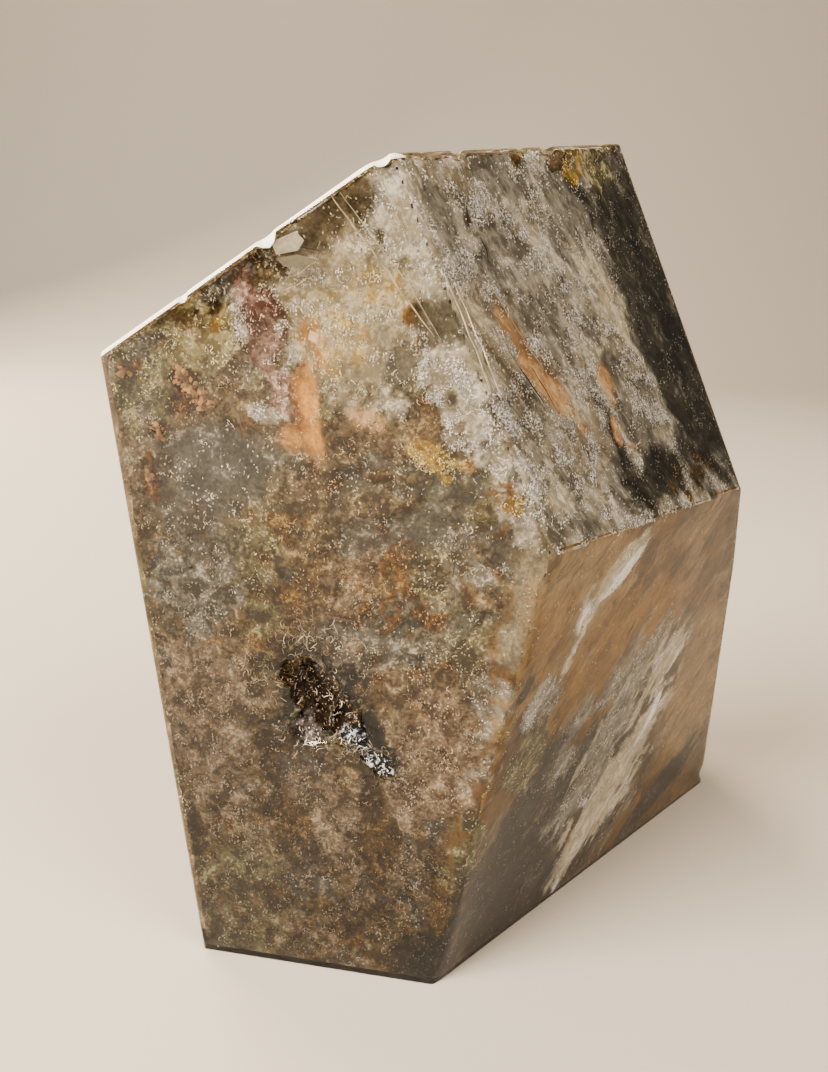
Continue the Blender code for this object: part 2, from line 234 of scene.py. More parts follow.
# Single spots of growth, on top of the rest
SPOTS = {
    "front": (
        (-13, 12, 16, 16, 0, "rose_garden", 0.45),
        (-24, 28, 6, 12, 0, "rose_garden", 0.7),
        (-24, 36, 5, 5, 0, "rose_garden", 0.6),
        (-1, 26, 7, 9, -20, "rose_garden", 0.7),
        (-27.2, 63.5, 7, 6, 0, "olive_garden", 0.7),
        (-20, 71, 4.8, 1.5, 33, "grey_garden", 0.85),
        (-28, 65.6, 3.4, 1, 33, "grey_garden", 0.7),
        (-22.4, 67, 4, 2.4, 35, "straw", 0.9),
        (-23.4, 64.4, 3.4, 2, 20, "straw", 0.6),
        (-21.4, 67.8, 1.6, 1, 35, "gold", 0.6),
        (-30, 63.4, 1.5, 1, 0, "rust", 0.6),
        (-22.3, 55, 6, 4.6, -10, "smoke", 0.9),
        (-25.6, 50.6, 3.4, 3, 0, "smoke", 0.6),
        (-25, 43, 5, 6, 0, "grey_garden", 0.7),
        (-9.5, 69, 8.6, 8.4, 30, "clear_frost", 1),
        (-3.5, 77, 5, 4, 35, "frost", 0.9),
        (0, 72, 4, 8, 25, "frost", 0.8),
        (-11, 66, 3.4, 4, 0, "clear_gold", 0.5),
        (-6.4, 70.8, 2.2, 2.2, 0, "clear_gold", 0.5),
        (-4.4, 69, 0.9, 1, 0, "amber", 0.8),
        (-11.2, 77.2, 3.6, 2.6, 30, "clear_brown", 0.9),
        (-15, 75, 1.8, 1.6, 0, "milky", 0.9),
        (-1.4, 68.6, 3, 2.4, 10, "clear_smoke", 0.9),
        (-5.2, 64.8, 1.6, 2.4, 0, "clear_smoke", 0.8),
        (-9.4, 63.6, 1.2, 1.2, 0, "clear_smoke", 0.5),
        (-17.4, 67.4, 1.9, 5.6, 18, "mauve", 0.95),
        (-15.2, 62, 1.6, 3.4, 14, "mauve", 0.9),
        (-19.6, 69, 0.5, 3.6, 18, "white_moss", 0.6),
        (-18, 60.4, 1.6, 0.8, -20, "white_moss", 0.9),
        (-14.6, 64.6, 0.4, 2.6, 18, "white_moss", 0.6),
        (-13.4, 60.2, 1.5, 0.7, -30, "white_moss", 0.7),
        # The tan and sand of these clear windows is painted light from behind
        (-13.3, 61.2, 1.2, 5.2, 5, "clear_tan", 1),
        (-14.6, 58.2, 1.3, 1.2, 30, "clear_tan", 0.7),
        (-8.2, 60.1, 1.8, 0.9, -10, "clear_sand", 0.6),
        (-12.6, 66, 0.8, 2.6, 20, "clear_tan", 0.5),
        (-24.6, 60.6, 2.2, 2.4, 0, "orange_lump", 0.7),
        (-27.1, 58.2, 0.8, 1.2, 10, "orange_lump", 0.9),
        (-28.4, 53, 0.7, 2.4, 0, "orange_lump", 0.8),
        (-1.6, 63.6, 1.9, 3.4, -15, "white_moss", 1),
        (-4.8, 61.4, 1.6, 1.5, 30, "white_moss", 1),
        (-0.8, 60.2, 1.6, 2.2, 0, "white_moss", 0.9),
        (2.9, 60.1, 3.2, 1.5, -35, "white_moss", 0.95),
        (5.7, 57.3, 2.9, 1.9, -45, "white_moss", 0.9),
        (8, 53.8, 2, 1.8, -45, "white_moss", 0.7),
        (-3.1, 57.5, 1.9, 1.8, 0, "gold", 0.95),
        (-1, 55.8, 2.6, 1.4, -20, "gold", 0.6),
        (3.4, 54.8, 2.4, 1.4, -20, "rust", 0.6),
        (5.2, 53.2, 1, 1, 0, "gold", 0.6),
        (-4.7, 48.2, 1.9, 1.3, 30, "rust", 0.9),
        (-6, 46.4, 1.6, 1, -30, "rust", 0.7),
        (4, 46.6, 1.2, 1, 0, "rust", 1),
        (-1.8, 43.2, 4, 1.8, -12, "rust", 0.55),
        (-6.5, 41.5, 3, 1.4, 0, "rust", 0.5),
        (-2, 50.5, 5, 2.6, 0, "smoke", 0.6),
        (1.5, 47, 4, 2.6, 0, "ash", 0.5),
        (1, 42, 1.6, 1.6, 0, "smoke", 0.6),
        (7.6, 46.4, 2, 6, -8, "milky", 1),
        (6.4, 41, 1.4, 3.4, -8, "milky", 0.9),
        (-12.6, 33, 5.6, 4, -35, "hollow_dark", 0.8),
        (-9, 29.5, 6.4, 2.2, -42, "hollow_dark", 0.95),
        (4.4, 33, 2.6, 4.4, -10, "ash", 0.5),
        (3.2, 26, 1.6, 3.6, -10, "ash", 0.4),
        (-10.8, 19, 2.5, 5.6, 10, "rose_garden", 1),
        (-6.2, 17, 2.2, 7, 4, "brown_garden", 0.9),
        (-15.8, 19, 2, 6, 10, "brown_garden", 0.9),
        (-19, 21, 1.5, 4, 0, "brown_garden", 0.6),
        (-22.3, 9, 7.7, 7.6, 0, "olive_garden", 0.5),
        (-23.9, 16.2, 2.2, 1.7, 0, "rust", 0.5),
        (-9.3, 4.4, 3.6, 3, 0, "rust", 0.5),
        (-16, 8, 5, 2, 0, "brown_garden", 0.6),
        (-2, 3, 5, 4, 0, "brown_garden", 0.6),
        (-12, 5, 17, 6, 0, "brown_garden", 0.4),
        (1, 8, 2.6, 9, -12, "brown_garden", 0.9),
        (3.4, 17, 2, 8, -10, "olive_garden", 0.7),
        # These two ink spots are painted shade in the lower right corner of the front
        (0.5, 2, 5, 5, -30, "ink", 0.9),
        (2.6, 10, 1.6, 7, -12, "ink", 0.6),
    ),
    "high_right": (
        (-12, 62, 7, 2.4, -57, "ash", 0.7),
        (-2, 64, 8, 2.4, -57, "ash", 0.8),
        (1.6, 58, 9, 2.2, -57, "silver", 0.7),
        (-20.6, 68.6, 2.6, 3, 0, "ash", 0.8),
        (-19, 58, 6, 2.2, -57, "clear_frost", 0.8),
        # The sand colour of these clear windows is painted light from behind
        (-14.4, 57.6, 3.4, 1, -57, "clear_sand", 0.8),
        (-11.4, 52.8, 4, 1.6, -54, "clear_sand", 0.9),
        (-7.6, 49, 2.6, 0.9, -50, "clear_sand", 0.7),
        (-2.6, 52.4, 2.2, 1.2, -60, "clear_sand", 0.8),
        (-16, 54, 6, 0.7, -57, "clear_brown", 0.7),
        (-17.2, 50.6, 3.6, 1.5, -45, "white_moss", 0.9),
        (-13.2, 47, 3.8, 1.6, -45, "white_moss", 0.85),
        (-9.4, 43.4, 3, 1.3, -45, "white_moss", 0.75),
        (-6.8, 40.6, 1.6, 1, -45, "white_moss", 0.8),
        (-13, 43, 2.6, 2.2, 0, "silver", 0.8),
        (8.8, 60, 24, 5.6, -72, "chlorite", 0.92),
        (10.6, 56, 18, 2.6, -72, "ink", 0.5),
        (10.5, 45, 6, 4.6, -60, "chlorite", 0.8),
        (3.4, 43, 5.5, 3, 10, "chlorite", 0.9),
        (9.5, 42, 5, 2.4, 0, "brown_garden", 0.6),
        (-1.8, 45, 4.4, 1, -70, "chlorite", 0.8),
        (-3.9, 48.4, 3.6, 0.7, -65, "ink", 0.5),
        (12.6, 70, 5, 1, -72, "ash", 0.5),
        (-10.1, 73.3, 1, 0.9, 0, "rust", 0.9),
        (-1.1, 74, 3.2, 1.6, 0, "gold", 0.75),
        (3.6, 73.6, 2.6, 1.8, 0, "olive_garden", 0.9),
        (-17.4, 67.6, 0.4, 0.8, 20, "rust", 0.8),
        (-2.2, 50.6, 0.9, 1.4, 25, "cream", 1),
        (-2.4, 47.6, 0.7, 1.7, 20, "cream", 0.9),
        (-0.4, 46, 0.5, 1.2, 0, "cream", 0.6),
    ),
    "low_right": (
        (-10, 47, 8, 6, 0, "toffee", 0.9),
        (24, 24, 8, 16, 0, "toffee", 0.8),
        (10, 49, 4, 3, 0, "toffee", 0.6),
        (-12.8, 43, 4.4, 4, 40, "amber", 0.5),
        (-5, 46, 5.4, 1.9, 42, "silver", 0.9),
        # The glint spots on these rows are painted highlights
        (-3.6, 46.2, 4, 0.7, 36, "glint", 1),
        (-8.3, 43.2, 2, 0.9, 70, "glint", 1),
        (-8.9, 39, 4.4, 0.8, 74, "silver", 1),
        (-8.8, 39.6, 0.6, 0.5, 0, "glint", 1),
        (-2.4, 37.2, 6.4, 3.2, 55, "amber", 0.9),
        (-6, 33.6, 4.6, 1.7, 60, "amber", 0.7),
        (-11.6, 34.6, 3.4, 2.4, 50, "ash", 1),
        (-13.4, 35, 2.4, 1.2, 60, "white_moss", 0.7),
        (-15.4, 37.4, 1.6, 0.7, 60, "ink", 0.7),
        (12.6, 30, 4, 1.1, 70, "silver", 0.9),
        (9.6, 27.6, 4.6, 1, 62, "silver", 0.8),
        (4.6, 28, 5, 1.2, 60, "silver", 0.7),
        (2, 22, 10, 3.6, 62, "ash", 0.95),
        (8, 17, 12, 3.4, 62, "silver", 0.95),
        (2, 9, 9, 2.2, 66, "silver", 0.9),
        (-3, 22, 9, 1.5, 66, "chlorite", 0.8),
        # Painted highlights
        (12.5, 24.4, 3.2, 0.8, 72, "glint", 1),
        (10.8, 20.8, 1.6, 0.6, 60, "glint", 0.8),
        (10.4, 14, 3, 0.4, 50, "glint", 0.7),
        (-0.5, 3.6, 1.4, 0.5, 60, "glint", 0.9),
        (-11.4, 18, 3.6, 12, -14, "chlorite", 0.95),
        # This ink spot and the one two rows down are painted shade in the lower left of this flat
        (-13, 10, 6, 11, -10, "ink", 1),
        (-12.6, 27, 3, 5, -20, "olive_garden", 0.8),
        (-6, 6, 4.6, 8, -10, "ink", 0.9),
        (22.9, 9, 7, 3.2, 35, "ink", 0.95),
        (16, 5, 7, 2.4, 40, "chlorite", 0.9),
    ),
    "roof": ((-20, 20, 9, 7, 0, "clear_frost", 0.7),),
}

# Fine lines in the clear quartz, for each flat: points right and up in mm, half width in mm, colour
LINES = {
    "front": (
        (((-11, 78.2), (-8, 74.6), (-5.3, 71.2), (-2.2, 67.4)), 0.1, "#D9CBB0"),
        (((-10.2, 78.4), (-7.4, 75), (-4.8, 71.8)), 0.05, "#EFE6D2"),
        (((-7.3, 80.4), (-6, 77.6), (-4.6, 74.9)), 0.06, "#CDBFA6"),
        (((-4.9, 72.4), (-3.2, 69.6), (-1.7, 67.2)), 0.06, "#CFC2A8"),
        (((-1.6, 72.4), (0.8, 67.4), (3, 62.4)), 0.06, "#B3A994"),
        (((-0.6, 71.4), (1.8, 66.6), (3.6, 62.6)), 0.05, "#C2B8A3"),
        (((-14.8, 71.7), (-13.5, 72.2), (-12.5, 73)), 0.06, "#EDE2CC"),
        (((-15.3, 70.6), (-13.8, 71.2), (-12.3, 72.2)), 0.05, "#E2D6BE"),
        (((-15.6, 73.9), (-14.2, 74.3), (-12, 73.9)), 0.06, "#3A3226"),
        (((-5.3, 49.1), (-5.1, 48), (-5, 47.1)), 0.06, "#1A140C"),
        (((0.3, 49), (0.2, 47.8), (0.1, 46.5)), 0.06, "#1A140C"),
    ),
    "high_right": (
        (((-22, 62.7), (-20.5, 57.3), (-18.8, 51.6)), 0.1, "#B3A994"),
        (((-16.2, 55.7), (-14.6, 53.6), (-13.2, 51.4)), 0.07, "#2A1C0E"),
        (((-13.8, 54.6), (-12.4, 52.4), (-11.6, 50.8)), 0.05, "#3A2814"),
        (((-18, 68.6), (-18.1, 67.8), (-17.9, 67.2)), 0.08, "#1A140C"),
        (((-17, 66.1), (-16.6, 65), (-16.7, 63.8)), 0.08, "#1A140C"),
        (((-19, 60), (-15.6, 54.8), (-12.2, 49.6)), 0.05, "#EDE2CC"),
        (((-17.2, 62), (-13.6, 56.4), (-10, 51)), 0.04, "#E2D6BE"),
    ),
    "low_right": (
        (((9, 46.6), (8.6, 45.6), (7.6, 44.4)), 0.16, "#2E1E0C"),
        (((1.7, 40.2), (1.3, 39.3), (0.8, 38.4)), 0.14, "#2E1E0C"),
        (((2, 48.6), (1.6, 47.9), (1.2, 47)), 0.1, "#4A3216"),
        (((13.9, 52.2), (13.6, 51.6), (13, 51)), 0.14, "#2E1E0C"),
        (((0.4, 54.4), (0.2, 53.8), (-0.2, 53.2)), 0.1, "#3A2814"),
        (((-12, 42.6), (-11, 43), (-10.2, 42.8)), 0.06, "#6A5030"),
        (((6, 37), (5.2, 35.6), (4.6, 34)), 0.06, "#4A3216"),
    ),
}

# Thin flakes in the clear quartz, for each flat: corners right and up in mm, colour
FLAKES = {
    "front": (
        (((-16, 74.5), (-13.9, 75.4), (-13.2, 74.7), (-13.7, 73.9), (-15.6, 73.5)), "#C6BDA8"),
        (((-15.6, 73.2), (-13.8, 73.6), (-12, 73.2), (-13.5, 72.6), (-15, 72.6)), "#8E836C"),
        (((-12.8, 67.6), (-12, 67.2), (-12.2, 66.4), (-13, 66.8)), "#E5C9A6"),
    ),
}

# The crust in the hollow: its middle and how far it reaches, in mm
CRUST_MIDDLE = (-11.2, 31.8)
CRUST_REACH = 10.0

# Growths on the crust: right, up and radius in mm, growth, strength
CRUST = (
    (-14.4, 38.4, 2.6, "crust_gold", 1),
    (-17.6, 34.6, 2.2, "crust_gold", 0.7),
    (-14.2, 28.8, 2.4, "crust_lilac", 1),
    # A painted glint of light off the hollow's wall, over dark crust
    (-8.6, 28.6, 1.6, "crust_dark_with_glint", 1),
    (-6.4, 26.4, 1.6, "crust_dark_with_glint", 0.8),
)

# Threads in the hollow: right, up, spread to the sides and up and down in mm, how many, and their colour
TANGLES = (
    (-14.4, 38.2, 1.5, 1.3, 60, "#A89272"),
    (-13.4, 39.2, 1.5, 0.6, 24, "#F4ECD8"),
    (-18, 34.4, 1.3, 1.2, 26, "#CDBD9C"),
    (-13.2, 34, 2, 1.8, 40, "#85725A"),
    (-11, 33, 1.6, 1.5, 22, "#E4DAC4"),
    (-8.6, 28.8, 2.2, 1.2, 30, "#A9A195"),
    (-11.2, 27.6, 2.6, 0.5, 18, "#E8E0CE"),
    (-6, 25.8, 1.4, 0.6, 18, "#F2E9D0"),
)

# Orange lumps of small grains under the polish: right, up, half width and height in mm, turn, and grains
LUMPS = (
    (-23.9, 61.8, 1.7, 0.9, -35, 70),
    (-22.6, 60.7, 1.1, 0.7, 15, 40),
    (-24.8, 63.2, 0.6, 0.9, 0, 22),
    (-27.1, 57.8, 0.35, 0.7, 10, 16),
    (-28.4, 53.8, 0.3, 1.1, 5, 20),
    (-30.2, 63.2, 0.7, 0.4, 0, 12),
)

# Flats whose garden is drawn out: degrees from level that its streaks run, and how much longer they are
STREAKS = {
    "high_right": (-57, 2.6),
    "low_right": (52, 2.6),
}


def linear(code):
    """An sRGB hex value as linear red, green and blue."""
    parts = [int(code[i : i + 2], 16) / 255 for i in (1, 3, 5)]
    return tuple(c / 12.92 if c <= 0.04045 else ((c + 0.055) / 1.055) ** 2.4 for c in parts)


def feed(tree, node, inputs):
    """Sets a node's inputs, in order or by name. Each is a value, or the node or socket that feeds it."""
    for name, value in inputs.items() if isinstance(inputs, dict) else enumerate(inputs):
        if isinstance(value, bpy.types.Node):
            value = next(output for output in value.outputs if output.enabled)
        if isinstance(value, bpy.types.NodeSocket):
            tree.links.new(value, node.inputs[name])
        else:
            node.inputs[name].default_value = value


def add_node(tree, kind, inputs=(), **settings):
    """Adds one node with its settings and with what feeds its inputs."""
    node = tree.nodes.new(kind)
    for name, value in settings.items():
        setattr(node, name, value)
    feed(tree, node, inputs)
    return node


# Steady noise for whole arrays of points


def lattice(cells, seed):
    """A steady number from 0 to 1 for each cell of a grid of whole numbers."""
    mask = np.uint64(0xFFFFFFFF)
    cells = cells.astype(np.int64).astype(np.uint64)
    mixed = cells[..., 0] * np.uint64(73856093)
    mixed ^= cells[..., 1] * np.uint64(19349663)
    mixed ^= cells[..., 2] * np.uint64(83492791)
    mixed = (mixed + np.uint64(seed * 7919 + 17)) & mask
    for shift, factor in ((15, 2246822519), (13, 3266489917)):
        mixed = ((mixed ^ (mixed >> np.uint64(shift))) * np.uint64(factor)) & mask
    mixed ^= mixed >> np.uint64(16)
    return mixed.astype(float) / 0xFFFFFFFF


def cloud(points, size, seed):
    """Smooth noise from 0 to 1, with lumps of about the given size."""
    spot = points / size
    cell = np.floor(spot)
    share = eased(spot - cell)
    total = np.zeros(len(points))
    for corner in np.ndindex(2, 2, 2):
        side = np.array(corner)
        weight = np.prod(np.where(side, share, 1 - share), axis=1)
        total += weight * lattice(cell + side, seed)
    return total


def clouds(points, size, seed, octaves):
    """Noise with finer and finer lumps added, spread to about 0 to 1."""
    total = np.zeros(len(points))
    height = 1.0
    for octave in range(octaves):
        total += height * (cloud(points, size / 2**octave, seed + octave) - 0.5)
        height *= 0.55
    return np.clip(0.5 + total * 0.9, 0, 1)


def eased(share):
    """A share kept from 0 to 1, with a soft start and end."""
    share = np.clip(share, 0, 1)
    return share * share * (3 - 2 * share)


# The stone and its flats


def vectors(items, key):
    """One vector of each item of a mesh, in mm."""
    found = np.empty(len(items) * 3)
    items.foreach_get(key, found)
    return found.reshape(-1, 3) / MM


class Flat:
    """One flat: its outward, right and up directions, how far out it lies and how far it spans, in mm."""

    def __init__(self, name, corners):
        azimuth, lean = (math.radians(angle) for angle in FLATS[name])
        self.out = np.array(
            (math.sin(azimuth) * math.cos(lean), -math.cos(azimuth) * math.cos(lean), math.sin(lean))
        )
        self.right = np.array((math.cos(azimuth), math.sin(azimuth), 0.0))
        self.up = np.cross(self.out, self.right)
        self.far = float((corners @ self.out).max())
        on = corners[self.far - corners @ self.out < ON_FLAT]
        self.span = [(float((on @ way).min()), float((on @ way).max())) for way in (self.right, self.up)]

    def place(self, right, up, depth):
        """Points at a spot on the flat and a depth under it."""
        return np.outer(right, self.right) + np.outer(up, self.up) + np.outer(self.far - depth, self.out)


CORNERS = vectors(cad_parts[STONE].data.vertices, "co")
ALL_FLATS = {name: Flat(name, CORNERS) for name in FLATS}


def under_flats(points, flats):
    """How far each point, in mm, lies under the nearest of some flats' own planes."""
    return np.min([flat.far - points @ flat.out for flat in flats], axis=0)


def stone_bmesh():
    """The CAD solid with its doubled corners merged."""
    bm = bmesh.new()
    bm.from_mesh(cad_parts[STONE].data)
    bmesh.ops.remove_doubles(bm, verts=bm.verts, dist=MERGED * MM)
    return bm


def stone_mesh():
    """The CAD solid's mesh with the hollow and the chips broken up finely."""
    bm = stone_bmesh()
    mark = bm.faces.layers.int.new("broken")
    places = np.array([vert.co for vert in bm.verts]) / MM
    depth = dict(zip(bm.verts, under_flats(places, ALL_FLATS.values())))
    broken = [face for face in bm.faces if np.mean([depth[vert] for vert in face.verts]) > WORN_DEPTH]
    for face in broken:
        face[mark] = 1
    edges = list({edge for face in broken for edge in face.edges})
    bmesh.ops.subdivide_edges(bm, edges=edges, cuts=2, use_grid_fill=True)
    bmesh.ops.triangulate(bm, faces=bm.faces)
    bm.normal_update()
    inner = [vert for vert in bm.verts if all(face[mark] for face in vert.link_faces)]
    places = np.array([vert.co for vert in inner]) / MM
    for vert, lump in zip(inner, clouds(places, BROKEN_LUMPS, SEEDS["broken"], 4) - 0.5):
        vert.co += vert.normal * float(lump) * BROKEN_RELIEF * MM
    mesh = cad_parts[STONE].data.copy()
    bm.to_mesh(mesh)
    bm.free()
    return mesh


def stone_surface():
    """The stone's surface in mm, to ask for the nearest point on it."""
    bm = stone_bmesh()
    bm.transform(Matrix.Scale(1 / MM, 4))
    tree = BVHTree.FromBMesh(bm)
    bm.free()
    return tree


SURFACE = stone_surface()


def push_in(points, least):
    """Moves points that are too near the stone's surface, or outside it, to the least depth in mm."""
    moved = points.copy()
    for i, point in enumerate(points):
        near, normal, _, _ = SURFACE.find_nearest(Vector(point))
        depth = -(Vector(point) - near).dot(normal)
        if depth < least[i]:
            moved[i] = near - normal * least[i]
    return moved


# What grows where


def growth_values(name):
    """Mass and curl colour, curls, crumbs, sink and softness of a growth, as one row of ten numbers."""
    ground, curls, *rest = GROWTHS[name]
    return np.array((*linear(ground), *linear(curls), *rest))


def streak_ways(name):
    """The directions along, across and out of a flat's streaks, and how much longer than wide they are."""
    here = ALL_FLATS[name]
    slope, stretch = STREAKS.get(name, (0.0, 1.0))
    angle = math.radians(slope)
    along = here.right * math.cos(angle) + here.up * math.sin(angle)
    return along, np.cross(here.out, along), here.out, stretch


def grit_at(points, size):
    """How late a crisp growth takes in each point, so that it ends in single grains."""
    return np.clip((clouds(points, size, SEEDS["grit"], 3) - 0.5) * 1.25 + 0.5, 0.02, 0.98)


def mixed(values, name, share, grit):
    """Lets a growth in by its share: grain by grain where it is crisp, as an even haze where it is soft."""
    growth = growth_values(name)
    soft = growth[9]
    grains = eased((1.45 * share - grit) / 0.45)
    share = np.clip(share * soft + grains * (1 - soft), 0, 1)[:, None]
    return values * (1 - share) + growth * share


def nearness(flat, place, soft, points, ragged):
    """The points that a ragged spot of growth on a flat reaches, and its share at each."""
    x, y, wide, high, turn = place
    here = ALL_FLATS[flat]
    right, up = points @ here.right - x, points @ here.up - y
    angle = math.radians(turn)
    length = (right * math.cos(angle) + up * math.sin(angle)) / wide
    width = (up * math.cos(angle) - right * math.sin(angle)) / high
    under = (here.far - points @ here.out) / min(wide, high, SPOT_DEPTH)
    # The edge of a small spot is more ragged for its size, and that of a haze is less so
    edge = (min(1.0, 2.2 / min(wide, high)) + 0.15) * (1.2 - 0.7 * soft)
    away = np.sqrt(length**2 + width**2 + under**2) + edge * ragged
    near = away < 1.3
    return near, eased((1.3 - away[near]) / 0.7)


def spots_near(flat):
    """Each spot that may show under a flat: its flat, place, growth, strength, and veil if it has one.

    A spot near an edge of the front reaches a little round it.
    """
    for table in (BASES, VEILS, SPOTS):
        for where, spots in table.items():
            if where == flat or "front" in (where, flat):
                for spot in spots:
                    yield where, spot[:5], *spot[5:7], spot[7:]


def garden_values(flat, right, points):
    """The growth values at each point of a flat."""
    along, across, out, stretch = streak_ways(flat)
    drawn = np.stack((points @ along / stretch, points @ across, points @ out), axis=1)
    grit = grit_at(drawn, 0.8)
    ragged = clouds(drawn, 2.4, SEEDS["ragged"], 5) - 0.5
    values = np.tile(growth_values("tan_garden"), (len(points), 1))
    for growth, size, level, seed in CLUMPS:
        share = 0.75 * eased((clouds(drawn, size, seed, 5) - level) / 0.2 + 0.4)[:, None]
        values = values * (1 - share) + growth_values(growth) * share
    for where, place, growth, strength, veil in spots_near(flat):
        near, share = nearness(where, place, GROWTHS[growth][-1], points, ragged)
        if not near.any():
            continue
        if veil:
            size, level, seed = veil
            share = share * eased((clouds(drawn[near], size, seed, 4) - level) / 0.16 + 0.4)
        values[near] = mixed(values[near], growth, share * strength, grit[near])
    # Painted shade: the front's colours grow darker toward its foot and its left
    if flat == "front":
        level = points[:, 2] + LOW_SLOPE * right
        values[:, :6] *= (1 - LOW_PAINTED_SHADE * eased((LOW_TOP - level) / LOW_TOP))[:, None]
    # Curls and crumbs stand in clumps with sparse ground between
    clumps = clouds(points, 1.3, SEEDS["clumps"], 3)
    values[:, 6:8] *= np.clip(5.0 * (clumps - 0.40), 0.06, 2.6)[:, None]
    return values


# The garden's surface under each flat


def sheet(flat, limits, spacing, size):
    """A rough sheet of garden under one flat: its points, faces and growth values."""
    here = ALL_FLATS[flat]
    others = [other for name, other in ALL_FLATS.items() if name != flat]
    (left, right), (low, high) = here.span
    rights = np.arange(left - 1, right + 1, spacing)
    ups = np.arange(low - 1, high + 1, spacing)
    right, up = (grid.ravel() for grid in np.meshgrid(rights, ups))
    least = size.depth / MM
    on = here.place(right, up, 0.0)
    edge = under_flats(on, others)
    room = under_flats(here.place(right, up, least), others)
    kept = (room > least - EDGE_OVERLAP) & (on[:, 2] >= limits[0]) & (on[:, 2] <= limits[1] + spacing)
    corner = np.arange(len(rights) * len(ups)).reshape(len(ups), len(rights))
    faces = np.stack((corner[:-1, :-1], corner[:-1, 1:], corner[1:, 1:], corner[1:, :-1]), axis=-1)
    faces = faces.reshape(-1, 4)
    faces = faces[kept[faces].all(axis=1)]
    used, faces = np.unique(faces, return_inverse=True)
    right, up, on, edge = right[used], up[used], on[used], edge[used]
    values = garden_values(flat, right, on)
    waves = clouds(on, 3.2, SEEDS["waves"], 6) * (1 - 0.6 * values[:, 9])
    shallow = eased((edge - 0.3) / 1.8)
    sink = values[:, 8] * (0.6 + 0.8 * clouds(on, 5.0, SEEDS["sink"], 2))
    sink = np.minimum(sink, 0.75 * np.maximum(edge - 0.6, 0))
    depth = least + shallow * (size.relief / MM * waves + sink)
    points = push_in(here.place(right, up, depth), LEAST_DEPTH + LEAST_SWELL * waves * shallow)
    return points, faces.reshape(-1, 4), values


def keep(mesh, name, values):
    """Keeps a number or a colour for each point of a mesh, for its material and its scatter."""
    kind, key = "FLOAT", "value"
    if np.ndim(values) == 2:
        kind, key = "FLOAT_COLOR", "color"
        values = np.column_stack((values, np.ones(len(values))))
    layer = mesh.attributes.new(name, kind, "POINT")
    layer.data.foreach_set(key, np.asarray(values, np.float32).ravel())


def keep_growth(mesh, values):
    """Keeps growth values on the points of a smooth mesh."""
    columns = {"ground": slice(0, 3), "curl": slice(3, 6), "curls": 6, "crumbs": 7, "soft": 9}
    for name, column in columns.items():
        keep(mesh, name, values[:, column])
    mesh.shade_smooth()


def garden_mesh(flats, limits, spacing, size):
    """One mesh of the garden under some flats, with its growth values kept on its points."""
    points, faces, values = zip(*(sheet(flat, limits, spacing, size) for flat in flats))
    starts = np.cumsum([0] + [len(some) for some in points])
    faces = np.concatenate([some + start for start, some in zip(starts, faces)])
    mesh = bpy.data.meshes.new("garden")
    mesh.from_pydata((np.concatenate(points) * MM).tolist(), [], faces.tolist())
    keep_growth(mesh, np.concatenate(values))
    return mesh


def streak_turn(flat):
    """The turn that puts X along a flat's streaks, and how much longer than wide they are."""
    if flat not in STREAKS:
        return Euler((0, 0, 0)), 1.0
    along, across, out, stretch = streak_ways(flat)
    return Matrix((along, across, out)).transposed().to_euler(), stretch


# Materials


def new_material(name):
    """A new material, its node tree, and its shader and output nodes."""
    material = bpy.data.materials.new(name)
    material.use_nodes = True
    tree = material.node_tree
    return material, tree, tree.nodes["Principled BSDF"], tree.nodes["Material Output"]


def clear_quartz_material(props):
    """Polished rock crystal: a hard gloss, strong bending of light and a faint smoky warmth in the depth."""
    material, tree, shader, output = new_material("clear_rock_crystal_polished")
    place = add_node(tree, "ShaderNodeTexCoord").outputs["Object"]
    worn = add_node(tree, "ShaderNodeAttribute", attribute_name="worn").outputs["Fac"]
    patches = {"Vector": place, "Scale": 260.0, "Detail": 1.0, "Roughness": 0.6}
    haze = add_node(tree, "ShaderNodeTexNoise", patches)
    span = (haze, 0.35, 0.75, props.polish, props.polish + 0.025)
    polish = add_node(tree, "ShaderNodeMapRange", span)
    rough = add_node(tree, "ShaderNodeMath", (worn, 0.3, polish), operation="MULTIPLY_ADD")
    tint = {"Color": (*props.tint, 1.0), "Density": props.smokiness}
    feed(tree, output, {"Volume": add_node(tree, "ShaderNodeVolumeAbsorption", tint)})
    looks = {
        "Base Color": (0.985, 0.98, 0.97, 1.0),
        "Roughness": rough,
        "IOR": props.ior,
        "Transmission Weight": 1.0,
    }
    feed(tree, shader, looks)
    return material


def frosted_quartz_material():
    """Ground crystal that was never polished: a dull white that scatters the light along an edge."""
    material, tree, shader, _ = new_material("ground_rock_crystal_frosted")
    looks = {
        "Base Color": (*linear("#F4F1EA"), 1.0),
        "Roughness": 0.45,
        "IOR": QUARTZ_IOR,
        "Transmission Weight": 0.35,
    }
    feed(tree, shader, looks)
    return material


